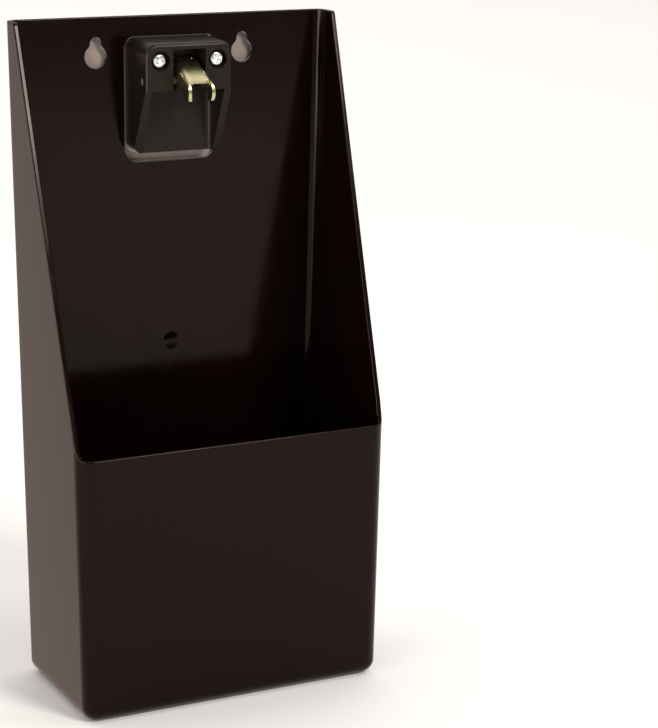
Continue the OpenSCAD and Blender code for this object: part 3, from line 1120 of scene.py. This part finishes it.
@dataclass
class BlockScrew:
    """A pan-head screw with a cross recess, its thread standing out of the block into the wall."""

    spacing: float = SCREW_SPACING
    turned: tuple[float, float] = (28.0, 61.0)
    seat: float = 20.6
    seat_gap: float = 0.12
    head_radius: float = 3.5
    head_height: float = 2.4
    head_fall: float = 0.16
    rim_share: float = 0.42
    shank_radius: float = 1.4
    thread_radius: float = 1.75
    core_radius: float = 1.2
    thread_start: float = 1.0
    thread_lead: float = 1.2
    thread_slope: float = 2.6
    thread_before: float = 0.3
    reach: float = 25.0
    point: float = 5.0
    point_power: float = 0.8
    pitch: float = 1.35
    recess_depth: float = 1.4
    recess_half_width: float = 0.5
    recess_half_length: float = 1.95
    recess_arm: tuple[float, float] = (1.15, 0.2)
    recess_fall: float = 0.45
    recess_flank: tuple[float, float] = (0.06, -0.22)
    tick_depth: float = 0.16
    tick_half_width: float = 0.1
    tick_half_length: float = 0.75
    tick_radius: float = 1.75
    tick_flank: tuple[float, float] = (0.08, -0.08)
    dense_to: float = 0.62
    head_points: tuple[int, int] = (52, 20)
    points_round: int = 121
    points_along: int = 260

    def head_rise(self, across: Points, up: Points) -> Points:
        """Height of the head over its seat: a low crown with a rounded rim, less the cross and its ticks.

        The cross is where min(max(|x| - w, |z| - l), max(|z| - w, |x| - l)) is below 0, and its flanks
        slope.

        Args:
            across: distances from the axis along the recess's first arm.
            up: distances along its second arm.

        Returns:
            Heights.
        """
        radius = np.hypot(across, up)
        rim = self.rim_share * self.head_radius
        past = np.clip(radius - self.head_radius + rim, 0.0, rim)
        crown = self.head_height - self.head_fall * (radius / self.head_radius) ** 2
        crown -= rim - np.sqrt(np.maximum(rim**2 - past**2, 0.0))
        length = self.recess_half_length
        wide, narrower = self.recess_arm
        arm = self.recess_half_width * (wide - narrower * radius / length)
        a, b = np.abs(across), np.abs(up)
        cross = np.minimum(np.maximum(a - arm, b - length), np.maximum(b - arm, a - length))
        deep = self.recess_depth * (1 - self.recess_fall * np.minimum(radius / length, 1.0))
        crown -= deep * smooth_step(*self.recess_flank, cross)
        c, d = np.abs(across + up) / math.sqrt(2), np.abs(across - up) / math.sqrt(2)
        beside = np.minimum(c, d) - self.tick_half_width
        tick = np.maximum(beside, np.abs(radius - self.tick_radius) - self.tick_half_length)
        crown -= self.tick_depth * smooth_step(*self.tick_flank, tick)
        return crown

    def add(self, skin: Skin, middle: float, turned: float) -> None:
        """Add one screw.

        The shank's radius is core + (major - core) max(0, 1 - slope |frac(y/pitch - turn/2pi) - 1/2|),
        times the taper of the point.

        Args:
            skin: skin that the screw is added to.
            middle: x of its axis.
            turned: turn of its recess, in radians.
        """
        turn = np.linspace(0.0, FULL_TURN, self.points_round)
        dense, sparse = self.head_points
        rim = np.linspace(self.dense_to, 1.0, sparse)[1:]
        share = np.concatenate([np.linspace(0.0, self.dense_to, dense), rim])
        radius = self.head_radius * share[:, None]
        across, up = radius * np.cos(turn), radius * np.sin(turn)
        cosine, sine = math.cos(turned), math.sin(turned)
        rise = self.head_rise(across * cosine + up * sine, up * cosine - across * sine)
        skin.grid(lathe(middle, radius, -self.seat - rise, turn))

        under = np.array([self.head_radius, self.head_radius, self.shank_radius, self.shank_radius])
        depth = self.seat + np.array([float(rise[-1].min()), self.seat_gap, self.seat_gap, 0.0])
        skin.grid(lathe(middle, under[:, None], -depth[:, None], turn))

        along = np.linspace(self.thread_start - self.thread_before, self.reach, self.points_along)
        y = np.concatenate([[-self.seat, 0.0], along])[:, None]
        phase = np.mod(y / self.pitch - turn / FULL_TURN, 1.0) - 0.5
        crest = np.maximum(0.0, 1.0 - self.thread_slope * np.abs(phase))
        grown = smooth_step(self.thread_start, self.thread_start + self.thread_lead, y)
        core = self.shank_radius + (self.core_radius - self.shank_radius) * grown
        shank = core + grown * (self.thread_radius - self.core_radius) * crest
        taper = np.clip((self.reach - y) / self.point, 0.0, 1.0)
        skin.grid(lathe(middle, shank * taper**self.point_power, y, turn))

    def build(self) -> Piece:
        """Build both screws as one piece.

        Returns:
            The screws' object.
        """
        skin = Skin()
        for side, turned in zip((-1, 1), self.turned):
            self.add(skin, side * self.spacing / 2, math.radians(turned))
        return skin.build("block_screw_pair")


@dataclass
class ClawPin:
    """The cross pin that the claw turns on, with rounded ends."""

    radius: float = 2.0
    half_length: float = 20.6
    depth: float = PIN_DEPTH
    below: float = PIN_BELOW
    end_radius: float = 0.8
    points_round: int = 65
    end_points: int = 8

    def build(self) -> Piece:
        """Turn the pin's profile about its axis: flat end, quarter arc, straight run and the same again.

        Returns:
            The pin's object.
        """
        turn = np.linspace(0.0, FULL_TURN, self.points_round)
        arc = np.linspace(0.0, QUARTER_TURN, self.end_points)
        radius = np.concatenate([[0.0], self.radius - self.end_radius * (1 - np.sin(arc))])
        along = self.half_length - np.concatenate([[0.0], self.end_radius * (1 - np.cos(arc))])
        radius = np.concatenate([radius, radius[::-1]])[:, None]
        along = np.concatenate([along, -along[::-1]])[:, None]
        x = np.broadcast_to(along, (len(along), len(turn)))
        y, z = -self.depth - radius * np.cos(turn), -self.below + radius * np.sin(turn)
        skin = Skin()
        skin.grid(np.stack([x, y, z], axis=-1))
        return skin.build("claw_pin_turned")


@dataclass
class ClawSpring:
    """The torsion spring: a tail at the wall, a close coil round the pin and a tail behind the web."""

    wire: float = 0.8
    coil_radius: float = 3.3
    pitch: float = 1.3
    sweep: float = 1731.0
    tail_angle: float = 159.0
    wall_tail: float = 5.18
    web_tail: float = 9.13
    depth: float = PIN_DEPTH
    below: float = PIN_BELOW
    sides: int = 14
    coil_points: int = 260
    wall_points: int = 12
    web_points: int = 18
    end_points: int = 5

    @property
    def half_length(self) -> float:
        """Half of the coil's length along the pin."""
        return self.pitch * self.sweep / 720.0

    def centre_line(self) -> tuple[Points, Points]:
        """Centre of the wire as x, out and up from the pin, with its outward direction.

        The coil is x = -h + pitch t/360, out = R cos(90 - t), up = R sin(90 - t) with t in degrees, and the
        tails are tangents.

        Returns:
            Points and outward directions as out and up.
        """
        half = self.half_length
        t = np.linspace(0.0, self.sweep, self.coil_points)
        angle = np.radians(90.0 - t)
        coil_way = np.column_stack([np.cos(angle), np.sin(angle)])
        coil = np.column_stack([-half + self.pitch * t / 360.0, self.coil_radius * coil_way])
        run = np.linspace(self.wall_tail, 0.0, self.wall_points)[:-1]
        first = np.column_stack([np.full_like(run, -half), -run, np.full_like(run, self.coil_radius)])
        turn = math.radians(self.tail_angle)
        way = np.array([math.cos(turn), math.sin(turn)])
        ahead = np.array([way[1], -way[0]])
        rise = np.linspace(0.0, self.web_tail, self.web_points)[1:]
        last = np.column_stack([np.full_like(rise, half), self.coil_radius * way + rise[:, None] * ahead])
        ways = np.concatenate([np.tile([0.0, 1.0], (len(run), 1)), coil_way, np.tile(way, (len(rise), 1))])
        return np.concatenate([first, coil, last]), ways

    def build(self) -> Piece:
        """Carry a circle along the centre line, closed by round ends.

        The circle is centre + r(cos k outward + sin k along the pin).

        Returns:
            The spring's object.
        """
        centre, way = self.centre_line()
        turn = np.linspace(0.0, FULL_TURN, self.sides + 1)
        dome = np.linspace(0.0, QUARTER_TURN, self.end_points)[:-1]
        step = self.wire / 2 * (1 - np.cos(dome))[:, None]
        ahead = (centre[1] - centre[0]) / np.linalg.norm(centre[1] - centre[0])
        back = (centre[-2] - centre[-1]) / np.linalg.norm(centre[-2] - centre[-1])
        line = np.concatenate([centre[0] + step * ahead, centre[1:-1], (centre[-1] + step * back)[::-1]])
        near, far = np.repeat(way[:1], len(dome), axis=0), np.repeat(way[-1:], len(dome), axis=0)
        ways = np.concatenate([near, way[1:-1], far])
        size = np.concatenate([np.sin(dome), np.ones(len(centre) - 2), np.sin(dome)[::-1]])
        radius = self.wire / 2 * size[:, None]
        out = radius * np.cos(turn)
        x = line[:, :1] + radius * np.sin(turn)
        depth = self.depth + line[:, 1:2] + out * ways[:, :1]
        up = -self.below + line[:, 2:3] + out * ways[:, 1:2]
        skin = Skin()
        skin.grid(np.stack([x, -depth, up], axis=-1))
        return skin.build("claw_spring_wire")


@dataclass
class Opener:
    """The block on the wall with its screws, its claw, the claw's pin and spring."""

    nodes: dict[str, Piece]
    claw_edge: float = 0.16

    def build(self) -> None:
        """Build and dress the opener's pieces."""
        dress(OpenerBlock().build(), BLOCK_PLASTIC, Body.OPENER, "opener_block")
        claw = softened_copy(self.nodes["claw"], "claw_plated", self.claw_edge)
        dress(claw, CLAW_PLATING, Body.CLAW, "claw")
        dress(BlockScrew().build(), SCREW_ZINC, Body.OPENER, "block_screws")
        dress(ClawPin().build(), PIN_STEEL, Body.OPENER, "claw_pin")
        self.add_spring()

    def add_spring(self) -> None:
        """Build the spring, which twists between the block and the claw along its coil."""
        shape = ClawSpring()
        spring = shape.build()
        spring.data.materials.append(SPRING_WIRE.material())
        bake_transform(spring)
        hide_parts("claw_spring")
        LOG.info("%s twists from opener to claw, %d faces", spring.name, len(spring.data.polygons))


@dataclass
class Studio:
    """The plain floor, what stands behind the object, the soft lights and the camera."""

    eye: Triple = (-0.407186, -0.946698, 0.120333)
    right: Triple = (0.889242, -0.457261, 0.012703)
    up: Triple = (0.102467, 0.226179, 0.968681)
    ahead: Triple = (0.445814, 0.860090, -0.247982)
    focal_pixels: float = 2281.58
    clip: tuple[float, float] = (0.05, 60.0)
    floor_z: float = -0.2825
    floor_reach: float = 14.0
    floor_points: int = 9
    card_gap: float = 0.0002
    # glow of the card: a painted warm reflection, seen only in the gloss of the tray's left side
    card_reflection_glow: Triple = (1.05, 0.845, 0.74)
    card_corners: tuple[tuple[float, float], ...] = (
        (0.6, 5.2),
        (-4.2, 5.2),
        (-4.2, 3.6),
        (-0.4, -0.1),
        (-0.073, -0.1),
        (-0.073, 0.01),
    )
    patch: tuple[float, float, float] = (0.06, -0.06, 0.014)
    patch_gap: float = 0.0012
    # the wall's colour darkened by painted shade, for the wall in the tray's shadow
    wall_and_shade_colour: Triple = (0.27, 0.224, 0.203)
    room_colour: Triple = (1.0, 0.975, 0.955)
    room_strength: float = 0.3

    def build(self) -> None:
        """Set up the stage."""
        self.add_camera()
        self.add_floor()
        self.add_reflection_card()
        self.add_wall_patch()
        self.add_lights()

    def add_camera(self) -> None:
        """Place the camera where the photograph's straight edges put it."""
        data = bpy.data.cameras.new("photo_camera")
        data.sensor_width = SENSOR_MM
        data.lens = self.focal_pixels / IMAGE_HEIGHT * SENSOR_MM
        data.clip_start, data.clip_end = self.clip
        camera = add_object("photo_camera", data)
        turn = np.column_stack([self.right, self.up, np.negative(self.ahead)])
        camera.matrix_world = Matrix.Translation(self.eye) @ Matrix(turn.tolist()).to_4x4()
        bpy.context.scene.camera = camera

    def add_flat(
        self, name: str, points: list[Triple], faces: list[list[int]], values: Values, unseen: list[str]
    ) -> Material:
        """Add a painted flat piece to the stage.

        Args:
            name: name of the piece and of its material.
            points: its points.
            faces: its faces.
            values: values of its shader's inputs.
            unseen: kinds of rays that miss it.

        Returns:
            Its material.
        """
        mesh = bpy.data.meshes.new(name)
        mesh.from_pydata(points, [], faces)
        piece = add_object(name, mesh)
        paint, _, shader = new_paint(name)
        set_inputs(shader, values)
        mesh.materials.append(paint)
        piece.visible_camera = "camera" not in unseen
        piece.visible_diffuse = "diffuse" not in unseen
        piece.visible_glossy = "glossy" not in unseen
        piece.visible_shadow = "shadow" not in unseen
        return paint

    def add_floor(self) -> None:
        """Lay a pale floor under the object, as a flat grid."""
        reach = np.linspace(-self.floor_reach, self.floor_reach, self.floor_points)
        x, y = np.meshgrid(reach, reach)
        points = np.column_stack([x.ravel(), y.ravel(), np.full(x.size, self.floor_z)])
        values = {"Base Color": (0.86, 0.86, 0.855, 1.0), "Roughness": 0.7, "Specular IOR Level": 0.2}
        quads = grid_quads(self.floor_points, self.floor_points)
        self.add_flat("floor", points.tolist(), quads.tolist(), values, [])

    def add_reflection_card(self) -> None:
        """Lay a glowing warm card on the floor, from the left side to the rear, that only the gloss
        mirrors: it is no lamp, and paints a warm reflection on the tray's left side.
        """
        level = self.floor_z + self.card_gap
        values = {
            "Base Color": (0.0, 0.0, 0.0, 1.0),
            "Specular IOR Level": 0.0,
            "Emission Color": (*self.card_reflection_glow, 1.0),
            "Emission Strength": 1.0,
        }
        corners = [(x, y, level) for x, y in self.card_corners]
        face = list(range(len(corners)))
        paint = self.add_flat("warm_reflection_card", corners, [face], values, ["camera", "diffuse", "shadow"])
        paint.cycles.emission_sampling = "NONE"

    def add_wall_patch(self) -> None:
        """Stand a patch of wall behind the tray's openings, clear when it is seen from behind. Its grey is
        partly the wall's colour and partly painted shade of the wall behind the tray.
        """
        half, low, high = self.patch
        outline = ((-half, low), (half, low), (half, high), (-half, high))
        corners = [(x, self.patch_gap, z) for x, z in outline]
        values = {"Base Color": (*self.wall_and_shade_colour, 1.0), "Roughness": 0.8, "Specular IOR Level": 0.1}
        unseen = ["diffuse", "glossy", "shadow"]
        tree = self.add_flat("wall_patch", corners, [[0, 1, 2, 3]], values, unseen).node_tree
        side = add_node(tree, "NewGeometry")
        clear = add_node(tree, "BsdfTransparent")
        choice = add_node(tree, "MixShader")
        join(
            tree,
            (side.outputs["Backfacing"], choice.inputs["Fac"]),
            (tree.nodes["Principled BSDF"].outputs["BSDF"], choice.inputs[1]),
            (clear.outputs["BSDF"], choice.inputs[2]),
            (choice.outputs["Shader"], tree.nodes["Material Output"].inputs["Surface"]),
        )

    def add_light(
        self, name: str, place: Triple, size: tuple[float, float], power: float, aim: Triple
    ) -> None:
        """Hang a rectangular soft box.

        Args:
            name: name of the light.
            place: its middle.
            size: its width and height.
            power: its power in watts.
            aim: the point that it faces.
        """
        data = bpy.data.lights.new(name, "AREA")
        data.shape = "RECTANGLE"
        data.size, data.size_y = size
        data.energy = power
        data.color = LIGHT_COLOUR
        light = add_object(name, data)
        light.location = place
        light.visible_camera = False
        light.rotation_euler = (Vector(aim) - Vector(place)).to_track_quat("-Z", "Y").to_euler()

    def add_lights(self) -> None:
        """Hang the soft boxes and set the even light of the room."""
        world = bpy.data.worlds.new("soft_room")
        world.use_nodes = True
        back = world.node_tree.nodes["Background"]
        set_inputs(back, {"Color": (*self.room_colour, 1.0), "Strength": self.room_strength})
        bpy.context.scene.world = world
        bpy.context.scene.view_settings.view_transform = "Standard"
        self.add_light("ceiling_panel", (0.0, 3.2, 2.4), (9.0, 6.0), 220.0, (0.0, 3.2, 0.0))
        self.add_light("left_panel", (-1.9, -0.75, 0.06), (1.6, 0.66), 34.0, (0.0, 0.0, 0.0))
        self.add_light("top_box", (1.0, -0.55, 2.0), (0.6, 0.6), 9.0, (0.0, 0.0, -0.12))
        self.add_light("front_box", (0.7, -1.76, 1.12), (0.62, 0.5), 36.0, (0.0, 0.0, 0.0))


def main() -> None:
    """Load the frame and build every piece."""
    logging.basicConfig(level=logging.INFO, format="%(name)s: %(message)s")
    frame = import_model()
    Studio().build()
    dress(CatchTray().build(), TRAY_PLASTIC, Body.TRAY, "catch_tray")
    Opener(frame["nodes"]).build()


if __name__ == "__main__":
    main()
